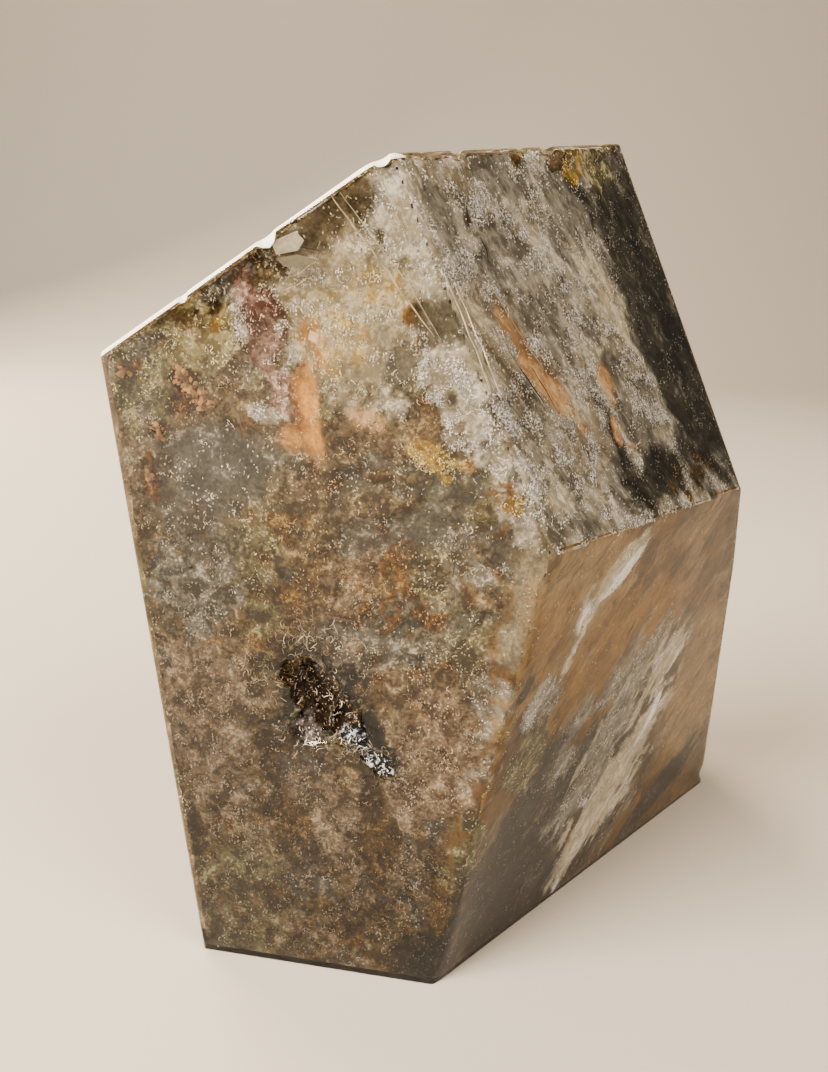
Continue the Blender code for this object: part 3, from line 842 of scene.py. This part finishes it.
def garden_material(name, flat, grain, roughness=0.75):
    """Packed chlorite, clay and iron oxide seen through the polish: pale crumbs in clumps over dark gaps."""
    if name in bpy.data.materials:
        return bpy.data.materials[name]
    material, tree, shader, _ = new_material(name)
    turn, stretch = streak_turn(flat)
    place = add_node(tree, "ShaderNodeTexCoord").outputs["Object"]
    along = {"Vector": place, "Rotation": turn, "Scale": (stretch, 1.0, 1.0)}
    drawn = add_node(tree, "ShaderNodeMapping", along, vector_type="TEXTURE")
    ground, curl, soft = (
        add_node(tree, "ShaderNodeAttribute", attribute_name=part) for part in ("ground", "curl", "soft")
    )

    # Clumps of 1 to 2 mm, and crumbs that are drawn twice as wide as the finest real ones, so that they show
    lumps = {"Vector": drawn, "Detail": 2.0, "Roughness": 0.6}
    clumps = add_node(tree, "ShaderNodeTexNoise", {**lumps, "Scale": 0.1 / grain, "Distortion": 0.8})
    crumbs = add_node(tree, "ShaderNodeTexNoise", {**lumps, "Scale": 0.6 / grain, "Distortion": 0.0})
    height = add_node(tree, "ShaderNodeMath", (crumbs, 0.7, clumps), operation="MULTIPLY_ADD")
    filled, lit = (
        add_node(tree, "ShaderNodeMapRange", (height, *span), interpolation_type="SMOOTHSTEP")
        for span in ((0.70, 0.90, 0.0, 1.0), (0.94, 1.10, 0.0, 0.6))
    )

    # Each crumb is a little lighter or darker than the next
    cells = add_node(tree, "ShaderNodeTexVoronoi", {"Vector": drawn, "Scale": 0.5 / grain}, feature="F1")
    shade = add_node(tree, "ShaderNodeMapRange", (cells.outputs["Color"], 0.2, 0.8, 0.68, 1.32))
    body = add_node(tree, "ShaderNodeVectorMath", {0: ground, "Scale": shade}, operation="SCALE")
    paler = (ground, (1.0, 1.0, 1.0), (0.14, 0.14, 0.14))
    sparse = add_node(tree, "ShaderNodeVectorMath", paler, operation="MULTIPLY_ADD")
    gap = add_node(tree, "ShaderNodeVectorMath", (ground, sparse), operation="MULTIPLY")
    mass = add_node(tree, "ShaderNodeMix", {"Factor": filled, 6: gap, 7: body}, data_type="RGBA")
    crumbly = add_node(tree, "ShaderNodeMix", {"Factor": lit, 6: mass, 7: curl}, data_type="RGBA")

    # Soft places show only slow veils
    veil = add_node(tree, "ShaderNodeMapRange", (height, 0.6, 1.1, 0.55, 1.45))
    hazy = add_node(tree, "ShaderNodeVectorMath", {0: ground, "Scale": veil}, operation="SCALE")
    blend = {"Factor": soft.outputs["Fac"], 6: crumbly, 7: hazy}
    colour = add_node(tree, "ShaderNodeMix", blend, data_type="RGBA")
    looks = {"Base Color": colour, "Roughness": roughness, "IOR": 1.5, "Specular IOR Level": 0.2}
    feed(tree, shader, looks)
    return material


def fleck_material():
    """Curled chlorite and clay threads in quartz: matt, each a little different."""
    name = "mineral_curls_matt"
    if name in bpy.data.materials:
        return bpy.data.materials[name]
    material, tree, shader, _ = new_material(name)
    place = add_node(tree, "ShaderNodeTexCoord").outputs["Object"]
    curl = add_node(tree, "ShaderNodeAttribute", attribute_name="curl")
    grain = add_node(tree, "ShaderNodeAttribute", attribute_name="grain").outputs["Fac"]
    uneven = add_node(tree, "ShaderNodeTexNoise", {"Vector": place, "Scale": 2400.0, "Detail": 0.0})
    both = add_node(tree, "ShaderNodeMath", (uneven, 0.5, grain), operation="MULTIPLY_ADD")
    shade = add_node(tree, "ShaderNodeMapRange", (both, 0.2, 1.35, 0.25, 1.35))
    colour = add_node(tree, "ShaderNodeVectorMath", {0: curl, "Scale": shade}, operation="SCALE")
    feed(tree, shader, {"Base Color": colour, "Roughness": 0.6, "IOR": 1.57})
    return material


def backdrop_material(colour):
    """Matt paper with a faint fibre, so that the floor isn't one flat tone."""
    material, tree, shader, _ = new_material("paper_backdrop_matt")
    place = add_node(tree, "ShaderNodeTexCoord").outputs["Object"]
    fibres = add_node(tree, "ShaderNodeTexNoise", {"Vector": place, "Scale": 400.0, "Detail": 3.0})
    tones = {"Factor": fibres, 6: (*(c * 0.97 for c in colour), 1.0), 7: (*colour, 1.0)}
    paper = add_node(tree, "ShaderNodeMix", tones, data_type="RGBA")
    feed(tree, shader, {"Base Color": paper, "Roughness": 0.85})
    return material


# Curls and crumbs scattered on the garden


def curl_shapes(tree, thickness):
    """Three bent threads of three sides."""
    size = {"Resolution": 3, "Radius": thickness}
    profile = add_node(tree, "GeometryNodeCurvePrimitiveCircle", size, mode="RADIUS")
    for radius, sweep, start in ((0.5, 2.8, 0.0), (0.34, 4.4, 1.0), (0.8, 1.5, 0.4)):
        bend = {"Resolution": 4, "Radius": radius, "Start Angle": start, "Sweep Angle": sweep}
        arc = add_node(tree, "GeometryNodeCurveArc", bend, mode="RADIUS")
        tube = {"Curve": arc, "Profile Curve": profile, "Fill Caps": True}
        yield add_node(tree, "GeometryNodeCurveToMesh", tube)


def crumb_shapes(tree, thickness):
    """Three small angular crumbs, each squashed in its own way."""
    for size in ((1.0, 0.7, 0.55), (0.8, 0.8, 0.7), (1.3, 0.5, 0.45)):
        ball = add_node(tree, "GeometryNodeMeshUVSphere", {"Segments": 4, "Rings": 2, "Radius": thickness})
        yield add_node(tree, "GeometryNodeTransform", {"Geometry": ball, "Scale": size})


def scatter_tree(shape):
    """Geometry nodes that scatter short curled threads, or crumbs, over the garden by its density."""
    label = "Mineral " + shape
    if label in bpy.data.node_groups:
        return bpy.data.node_groups[label]
    tree = bpy.data.node_groups.new(label, "GeometryNodeTree")
    sockets = {"Geometry": "Geometry", "Share": "Float", "Length": "Float", "Thickness": "Float"}
    sockets |= {"Lift": "Float", "Seed": "Int", "Material": "Material"}
    for name, kind in sockets.items():
        tree.interface.new_socket(name, in_out="INPUT", socket_type="NodeSocket" + kind)
    tree.interface.new_socket("Geometry", in_out="OUTPUT", socket_type="NodeSocketGeometry")
    given = add_node(tree, "NodeGroupInput").outputs

    # Points over the garden, by its density per mm2
    density = add_node(tree, "GeometryNodeInputNamedAttribute", {"Name": shape}, data_type="FLOAT")
    wanted = add_node(tree, "ShaderNodeMath", (density, given["Share"]), operation="MULTIPLY")
    per_metre = add_node(tree, "ShaderNodeMath", (wanted, 1e6), operation="MULTIPLY")
    spread = {"Mesh": given["Geometry"], "Density": per_metre, "Seed": given["Seed"]}
    points = add_node(tree, "GeometryNodeDistributePointsOnFaces", spread, distribute_method="RANDOM")

    # Each at its own height and in its own shade
    rise, shade, longer = (
        add_node(tree, "FunctionNodeRandomValue", {2: low, 3: high, "Seed": seed}, data_type="FLOAT")
        for low, high, seed in ((0.0, given["Lift"], 3), (0.0, 1.0, 8), (0.45, 1.25, 6))
    )
    out = {0: points.outputs["Normal"], "Scale": rise}
    shift = add_node(tree, "ShaderNodeVectorMath", out, operation="SCALE")
    raised = add_node(tree, "GeometryNodeSetPosition", {"Geometry": points, "Offset": shift})
    tone = {"Geometry": raised, "Name": "grain", "Value": shade}
    marked = add_node(tree, "GeometryNodeStoreNamedAttribute", tone, data_type="FLOAT", domain="POINT")

    # One of the shapes on each, turned any way
    shapes = add_node(tree, "GeometryNodeJoinGeometry")
    for single in (curl_shapes if shape == "curls" else crumb_shapes)(tree, given["Thickness"]):
        feed(tree, shapes, (add_node(tree, "GeometryNodeGeometryToInstance", (single,)),))
    turns = {0: (0, 0, 0), 1: (math.tau, math.tau, math.tau), "Seed": 5}
    turn = add_node(tree, "FunctionNodeRandomValue", turns, data_type="FLOAT_VECTOR")
    copies = {
        "Points": marked,
        "Instance": shapes,
        "Pick Instance": True,
        "Rotation": add_node(tree, "FunctionNodeEulerToRotation", (turn,)),
        "Scale": add_node(tree, "ShaderNodeMath", (longer, given["Length"]), operation="MULTIPLY"),
    }
    placed = add_node(tree, "GeometryNodeInstanceOnPoints", copies)
    real = add_node(tree, "GeometryNodeRealizeInstances", {"Geometry": placed})
    look = {"Geometry": real, "Material": given["Material"]}
    feed(tree, add_node(tree, "NodeGroupOutput"), (add_node(tree, "GeometryNodeSetMaterial", look),))
    return tree


def scattered(mesh, tree, values):
    """The mesh that a tree makes over a garden mesh."""
    carrier = bpy.data.objects.new("carrier", mesh)
    bpy.context.scene.collection.objects.link(carrier)
    modifier = carrier.modifiers.new("scatter", "NODES")
    modifier.node_group = tree
    for item in tree.interface.items_tree:
        if item.in_out == "INPUT" and item.name in values:
            modifier[item.identifier] = values[item.name]
    graph = bpy.context.evaluated_depsgraph_get()
    made = bpy.data.meshes.new_from_object(carrier.evaluated_get(graph), depsgraph=graph)
    carrier.modifiers.clear()
    bpy.data.objects.remove(carrier)
    return made


def finish_piece(name, mesh, material, stands_for=None):
    """Puts a finished mesh in the scene as a piece that rides on the stone."""
    mesh.name = name
    mesh.materials.clear()
    mesh.materials.append(material)
    piece = bpy.data.objects.new(name, mesh)
    bpy.context.scene.collection.objects.link(piece)
    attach(piece, "root")
    if stands_for:
        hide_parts(stands_for)
    return piece


def scatter_pieces(names, mesh, share=1.0, lift=1.0, step=0):
    """Makes the curls and the crumbs over a garden mesh, each as one piece."""
    for shape in ("curls", "crumbs"):
        props = getattr(bpy.context.scene, "quartz_" + shape)
        values = {
            "Share": props.share * share,
            "Length": props.length,
            "Thickness": props.thickness,
            "Lift": props.lift * lift,
            "Seed": props.seed + step,
            "Material": fleck_material(),
        }
        finish_piece(names.format(shape), scattered(mesh, scatter_tree(shape), values), fleck_material())


# Sizes and colours that a user may change


def number(name, description, default, **limits):
    """A plain number."""
    return bpy.props.FloatProperty(name=name, description=description, default=default, **limits)


def distance(name, description, millimetres):
    """A length, given in mm."""
    return number(name, description, millimetres * MM, unit="LENGTH")


def colour(name, description, code):
    """A colour, given as an sRGB hex value."""
    return bpy.props.FloatVectorProperty(
        name=name, description=description, default=linear(code), size=3, subtype="COLOR"
    )


def draws(description, default):
    """A seed of random draws."""
    return bpy.props.IntProperty(name="Seed", description=description, default=default)


class QuartzBodySizes(bpy.types.PropertyGroup):
    polish: number("Polish", "Roughness of the polished flats", 0.012, min=0, max=1)
    ior: number("IOR", "How strongly quartz bends light", QUARTZ_IOR, min=1, max=3)
    tint: colour("Tint", "Colour of light that has gone through the quartz", "#E9DCC6")
    smokiness: number("Smokiness", "Density of the tint, per metre", 9.0, min=0)


class GardenSizes(bpy.types.PropertyGroup):
    spacing: distance("Spacing", "Distance between points of the garden", 0.33)
    depth: distance("Depth", "Least depth of the garden under a flat", 0.55)
    relief: distance("Relief", "How much deeper its lowest places lie", 1.5)
    grain: distance("Grain", "Width of one crumb in the mass", 0.2)


class CurlSizes(bpy.types.PropertyGroup):
    share: number("Share", "Part of the full density of curls", 1.0, min=0, max=2)
    length: distance("Length", "Length of a curl", 0.46)
    thickness: number("Thickness", "Half a curl's thickness for each unit of its length", 0.11)
    lift: distance("Lift", "How far curls stand up from the mass", 0.25)
    seed: draws("Seed of the scatter", 4)


class CrumbSizes(bpy.types.PropertyGroup):
    share: number("Share", "Part of the full density of crumbs", 1.0, min=0, max=2)
    length: distance("Length", "Full length of a crumb", 0.24)
    thickness: number("Thickness", "Half a crumb's width for each unit of its length", 0.6)
    lift: distance("Lift", "How far crumbs stand up from the mass", 0.25)
    seed: draws("Seed of the scatter", 21)


class ThreadSizes(bpy.types.PropertyGroup):
    share: number("Share", "Part of the full number of threads", 1.0, min=0, max=2)
    thickness: distance("Thickness", "Half the thickness of a thread", 0.05)
    seed: draws("Seed of the tangle and the lumps", 9)


class StageSizes(bpy.types.PropertyGroup):
    floor: colour("Floor", "Colour of floor and backdrop", "#A7A198")
    key: number("Key", "Power of the soft light", 19.0, unit="POWER")
    rim: number("Rim", "Power of the rim light", 6.0, unit="POWER")
    fill: number("Fill", "Power of the fill", 7.0, unit="POWER")
    sky: number("Sky", "Strength of the even light", 0.2)


GROUPS = {
    "quartz_body": QuartzBodySizes,
    "quartz_garden": GardenSizes,
    "quartz_curls": CurlSizes,
    "quartz_crumbs": CrumbSizes,
    "quartz_threads": ThreadSizes,
    "quartz_stage": StageSizes,
}


def edge_frost(mesh):
    """For each face, 1 where it is part of an edge in FROSTED_EDGES, else 0."""
    centres = vectors(mesh.polygons, "center")
    frosted = np.zeros(len(centres), np.int32)
    for pair in FROSTED_EDGES:
        depths = np.array([ALL_FLATS[name].far - centres @ ALL_FLATS[name].out for name in pair])
        frosted[((depths > FROST_DEPTHS[0]) & (depths < FROST_DEPTHS[1])).all(axis=0)] = 1
    return frosted


class QUARTZ_OT_body(bpy.types.Operator):
    """Makes the polished clear body"""

    bl_idname = "quartz.body"
    bl_label = "Clear body"

    def execute(self, context):
        mesh = stone_mesh()
        broken = np.empty(len(mesh.polygons), np.int32)
        mesh.attributes["broken"].data.foreach_get("value", broken)
        corners = [len(polygon.vertices) for polygon in mesh.polygons]
        layer = mesh.attributes.new("worn", "FLOAT", "CORNER")
        layer.data.foreach_set("value", np.repeat(broken, corners).astype(np.float32))
        mesh.polygons.foreach_set("use_smooth", np.ones(len(mesh.polygons), bool))
        piece = finish_piece("clear_body", mesh, clear_quartz_material(context.scene.quartz_body), STONE)
        mesh.materials.append(frosted_quartz_material())
        mesh.polygons.foreach_set("material_index", edge_frost(mesh))
        smooth = piece.modifiers.new("even flats", "WEIGHTED_NORMAL")
        smooth.mode = "FACE_AREA"
        smooth.weight = 100
        smooth.keep_sharp = True
        return {"FINISHED"}


class QUARTZ_OT_garden(bpy.types.Operator):
    """Makes the garden under every flat, and the curls and crumbs on it"""

    bl_idname = "quartz.garden"
    bl_label = "Mineral garden"

    def execute(self, context):
        size = context.scene.quartz_garden
        for index, (region, (flats, low, high, share, wider)) in enumerate(REGIONS.items()):
            mesh = garden_mesh(flats, (low, high), wider * size.spacing / MM, size)
            scatter_pieces("{}_" + region, mesh, share=share, step=index)
            name = "chlorite_and_clay_" + (flats[0] if flats[0] in STREAKS else "tangled")
            finish_piece("garden_" + region, mesh, garden_material(name, flats[0], size.grain))
        return {"FINISHED"}


def front_point(right, up, lift):
    """A point just over the broken surface of the hollow, or just under the polish beside it, in mm."""
    here = ALL_FLATS["front"]
    start = here.place([right], [up], -2.0)[0]
    hit, normal, _, _ = SURFACE.ray_cast(Vector(start), Vector(-here.out), 8.0)
    if hit is None:
        return None
    if here.far - np.array(hit) @ here.out > HOLLOW_DEPTH:
        return np.array(hit + normal * lift)
    return np.array(hit) - here.out * (0.3 + 0.5 * lift)


def closed_mesh(points, faces, colours, grain):
    """A mesh of closed shapes that face outward, with a colour and a shade for each point."""
    mesh = bpy.data.meshes.new("closed shapes")
    mesh.from_pydata(points, [], faces)
    keep(mesh, "curl", colours)
    keep(mesh, "grain", grain)
    bm = bmesh.new()
    bm.from_mesh(mesh)
    bmesh.ops.recalc_face_normals(bm, faces=bm.faces)
    bm.to_mesh(mesh)
    bm.free()
    return mesh


def tubes(paths):
    """One mesh of closed tubes, each a list of points in mm with its radius and its colour."""
    points, faces, colours = [], [], []
    for path, radius, colour in paths:
        start = len(points)
        rings = len(path)
        for i, place in enumerate(path):
            ahead = Vector(path[min(i + 1, rings - 1)] - path[max(i - 1, 0)]).normalized()
            side = ahead.orthogonal().normalized()
            other = ahead.cross(side)
            thin = radius * (0.45 + 0.55 * math.sin(math.pi * (i + 0.6) / (rings + 0.2)))
            for corner in range(TUBE_SIDES):
                angle = math.tau * corner / TUBE_SIDES
                spoke = side * math.cos(angle) + other * math.sin(angle)
                points.append((Vector(place) + spoke * thin) * MM)
        for row in range(start, start + (rings - 1) * TUBE_SIDES, TUBE_SIDES):
            for corner in range(TUBE_SIDES):
                a, b = row + corner, row + (corner + 1) % TUBE_SIDES
                faces.append((a, b, b + TUBE_SIDES, a + TUBE_SIDES))
        faces.append(list(reversed(range(start, start + TUBE_SIDES))))
        faces.append(list(range(len(points) - TUBE_SIDES, len(points))))
        colours += [colour] * (rings * TUBE_SIDES)
    shades = cloud(np.array(points) / MM, 0.7, SEEDS["thread"])
    mesh = closed_mesh(points, faces, colours, shades)
    mesh.shade_smooth()
    return mesh


def crust_mesh():
    """The broken surface of the hollow with its growth values, lifted a little off the quartz."""
    here = ALL_FLATS["front"]
    mesh = stone_mesh()
    bm = bmesh.new()
    bm.from_mesh(mesh)
    mark = bm.faces.layers.int["broken"]
    others = []
    for face in bm.faces:
        centre = np.array(face.calc_center_median()) / MM
        away = math.hypot(centre @ here.right - CRUST_MIDDLE[0], centre @ here.up - CRUST_MIDDLE[1])
        if not face[mark] or max(away, here.far - centre @ here.out) > CRUST_REACH:
            others.append(face)
    bmesh.ops.delete(bm, geom=others, context="FACES")
    for vert in bm.verts:
        vert.co += vert.normal * CRUST_LIFT * MM
    places = np.array([vert.co for vert in bm.verts]) / MM
    bm.to_mesh(mesh)
    bm.free()
    values = np.tile(growth_values("crust_dark"), (len(places), 1))
    grit = grit_at(places, 0.6)
    ragged = clouds(places, 1.6, SEEDS["ragged"], 4) - 0.5
    for x, y, radius, growth, strength in CRUST:
        away = np.hypot(places @ here.right - x, places @ here.up - y) / radius + ragged
        values = mixed(values, growth, eased((1.4 - away) / 0.9) * strength, grit)
    keep_growth(mesh, values)
    return mesh


class QUARTZ_OT_crust(bpy.types.Operator):
    """Makes the dark crust in the hollow, and the curls and crumbs on it"""

    bl_idname = "quartz.crust"
    bl_label = "Crust in the hollow"

    def execute(self, context):
        mesh = crust_mesh()
        scatter_pieces("hollow_{}", mesh, lift=CRUST_CLING)
        grain = context.scene.quartz_garden.grain
        crust = garden_material("chlorite_crust_in_hollow", "front", grain, roughness=0.32)
        finish_piece("hollow_crust", mesh, crust)
        return {"FINISHED"}


class QUARTZ_OT_threads(bpy.types.Operator):
    """Makes the tangle of threads in and around the hollow"""

    bl_idname = "quartz.threads"
    bl_label = "Threads in the hollow"

    def execute(self, context):
        props = context.scene.quartz_threads
        draw = np.random.default_rng(props.seed)
        paths = []
        for x, y, wide, high, count, colour in TANGLES:
            tone = np.array(linear(colour))
            for _ in range(int(count * props.share)):
                right, up = draw.normal((x, y), (wide, high))
                heading = draw.uniform(0, math.tau)
                bend = draw.normal(0, 0.55)
                radius = props.thickness / MM * draw.uniform(0.6, 1.3)
                path = []
                for step in range(int(draw.integers(5, 11))):
                    lift = radius + 0.35 * max(0.0, math.sin(step * 0.7 + heading)) * draw.uniform(0.6, 1)
                    place = front_point(right, up, lift)
                    if place is not None:
                        path.append(place)
                    right += THREAD_STEP * math.cos(heading)
                    up += THREAD_STEP * math.sin(heading)
                    bend += draw.normal(0, 0.25)
                    heading += 0.45 * bend
                if len(path) > 3:
                    paths.append((path, radius, tone * draw.uniform(0.55, 1.15)))
        finish_piece("hollow_threads", tubes(paths), fleck_material())
        return {"FINISHED"}


class QUARTZ_OT_lump(bpy.types.Operator):
    """Makes the orange lumps near the upper left corner"""

    bl_idname = "quartz.lump"
    bl_label = "Orange lumps"

    def execute(self, context):
        here = ALL_FLATS["front"]
        draw = np.random.default_rng(context.scene.quartz_threads.seed)
        bm = bmesh.new()
        shades = []
        for x, y, wide, high, turn, grains in LUMPS:
            angle = math.radians(turn)
            for _ in range(grains):
                a, b = draw.normal(0, 0.5, 2)
                right = x + a * wide * math.cos(angle) - b * high * math.sin(angle)
                up = y + a * wide * math.sin(angle) + b * high * math.cos(angle)
                size = draw.uniform(0.14, 0.46) * Vector(draw.uniform(0.35, 1.0, 3))
                depth = 0.42 + 0.5 * min(1.0, math.hypot(a, b)) + draw.uniform(0, 0.12)
                place = Matrix.Translation(here.place([right], [up], depth)[0] * MM)
                spin = Euler(draw.uniform(0, math.tau, 3)).to_matrix().to_4x4()
                shape = place @ spin @ Matrix.Diagonal((*(size * MM), 1.0))
                ball = bmesh.ops.create_icosphere(bm, subdivisions=1, radius=1.0, matrix=shape)["verts"]
                shades += [draw.uniform(0, 1)] * len(ball)
        mesh = bpy.data.meshes.new("lumps")
        bm.to_mesh(mesh)
        bm.free()
        share = np.array(shades)[:, None]
        dark, pale = (np.array(linear(code)) for code in LUMP_COLOURS)
        keep(mesh, "curl", dark * (1 - share) + pale * share)
        keep(mesh, "grain", np.full(len(shades), LUMP_SHADE))
        finish_piece("orange_lumps", mesh, fleck_material())
        return {"FINISHED"}


def line_paths():
    """The paths of the fine lines, each a little wavy, with its radius and its colour."""
    for flat, lines in LINES.items():
        for places, radius, colour in lines:
            rights, ups = zip(*places)
            steps = np.linspace(0, len(places) - 1, 6 * len(places))
            right = np.interp(steps, range(len(places)), rights)
            up = np.interp(steps, range(len(places)), ups)
            path = ALL_FLATS[flat].place(right, up, LINE_DEPTH + radius)
            path += 0.12 * (cloud(path, 1.5, SEEDS["line"]) - 0.5)[:, None]
            yield list(path), radius, linear(colour)


def flake_mesh():
    """One mesh of all the thin flakes."""
    points, faces, colours = [], [], []
    for flat, flakes in FLAKES.items():
        for places, colour in flakes:
            start = len(points)
            count = len(places)
            for depth in FLAKE_DEPTHS:
                points += list(ALL_FLATS[flat].place(*zip(*places), depth) * MM)
            faces.append(list(range(start, start + count)))
            faces.append([start + count + i for i in reversed(range(count))])
            for i in range(count):
                j = (i + 1) % count
                faces.append((start + i, start + count + i, start + count + j, start + j))
            colours += [linear(colour)] * (2 * count)
    return closed_mesh(points, faces, colours, np.full(len(points), FLAKE_SHADE))


class QUARTZ_OT_lines(bpy.types.Operator):
    """Makes the growth lines, the needle cracks and the thin flakes in the clear quartz"""

    bl_idname = "quartz.lines"
    bl_label = "Lines and flakes"

    def execute(self, context):
        finish_piece("growth_lines", tubes(line_paths()), fleck_material())
        finish_piece("flakes", flake_mesh(), fleck_material())
        return {"FINISHED"}


def add_light(name, power):
    """One of the soft lights, turned to the stone."""
    place, size, colour, mirrored = LIGHTS[name]
    data = bpy.data.lights.new(name, "AREA")
    data.shape = "SQUARE"
    data.size = size
    data.energy = power
    data.color = linear(colour)
    lamp = bpy.data.objects.new(name, data)
    bpy.context.scene.collection.objects.link(lamp)
    lamp.location = place
    lamp.rotation_euler = (Vector(LIGHT_TARGET) - Vector(place)).to_track_quat("-Z", "Y").to_euler()
    lamp.visible_glossy = mirrored


class QUARTZ_OT_stage(bpy.types.Operator):
    """Makes the floor, the backdrop, the lights and the camera"""

    bl_idname = "quartz.stage"
    bl_label = "Stage"

    def execute(self, context):
        scene = context.scene
        props = scene.quartz_stage
        profile = [(FLOOR_FRONT, 0.0), (BEND_START, 0.0)]
        for step in range(1, BEND_STEPS + 1):
            angle = math.radians(90) * step / BEND_STEPS
            reach, rise = math.sin(angle), 1 - math.cos(angle)
            profile.append((BEND_START + BEND_RADIUS * reach, BEND_RADIUS * rise))
        profile.append((BEND_START + BEND_RADIUS, WALL_TOP))
        points = [(x, y, z) for y, z in profile for x in (-FLOOR_HALF, FLOOR_HALF)]
        faces = [(2 * i, 2 * i + 1, 2 * i + 3, 2 * i + 2) for i in range(len(profile) - 1)]
        mesh = bpy.data.meshes.new("floor")
        mesh.from_pydata(points, [], faces)
        mesh.shade_smooth()
        mesh.materials.append(backdrop_material(props.floor))
        floor = bpy.data.objects.new("floor", mesh)
        scene.collection.objects.link(floor)

        for name in LIGHTS:
            add_light(name, getattr(props, name))
        world = bpy.data.worlds.new("even light")
        world.use_nodes = True
        sky = {"Color": (*linear("#F3F0EA"), 1.0), "Strength": props.sky}
        feed(world.node_tree, world.node_tree.nodes["Background"], sky)
        scene.world = world
        scene.view_settings.look = "AgX - Medium High Contrast"

        data = bpy.data.cameras.new("camera")
        data.lens = CAMERA_LENS
        data.sensor_width = 36.0
        data.clip_start = 0.005
        camera = bpy.data.objects.new("camera", data)
        scene.collection.objects.link(camera)
        camera.matrix_world = Matrix.Translation(CAMERA_PLACE) @ Matrix(CAMERA_TURN).to_4x4()
        scene.camera = camera
        return {"FINISHED"}


OPERATORS = (
    QUARTZ_OT_body,
    QUARTZ_OT_garden,
    QUARTZ_OT_crust,
    QUARTZ_OT_threads,
    QUARTZ_OT_lump,
    QUARTZ_OT_lines,
    QUARTZ_OT_stage,
)


class QUARTZ_PT_panel(bpy.types.Panel):
    """Lists the pieces of the garden quartz"""

    bl_idname = "QUARTZ_PT_panel"
    bl_label = "Garden Quartz"
    bl_space_type = "VIEW_3D"
    bl_region_type = "UI"
    bl_category = "Quartz"

    def draw(self, context):
        for operator in OPERATORS:
            self.layout.operator(operator.bl_idname)
        for name, group in GROUPS.items():
            box = self.layout.box()
            for key in group.__annotations__:
                box.prop(getattr(context.scene, name), key)


CLASSES = (*GROUPS.values(), *OPERATORS, QUARTZ_PT_panel)


def register():
    for kind in CLASSES:
        bpy.utils.register_class(kind)
    for name, group in GROUPS.items():
        setattr(bpy.types.Scene, name, bpy.props.PointerProperty(type=group))


def unregister():
    for name in GROUPS:
        delattr(bpy.types.Scene, name)
    for kind in reversed(CLASSES):
        bpy.utils.unregister_class(kind)


def main():
    register()
    bpy.ops.quartz.body()
    bpy.ops.quartz.garden()
    bpy.ops.quartz.crust()
    bpy.ops.quartz.threads()
    bpy.ops.quartz.lump()
    bpy.ops.quartz.lines()
    bpy.ops.quartz.stage()


if __name__ == "__main__":
    main()
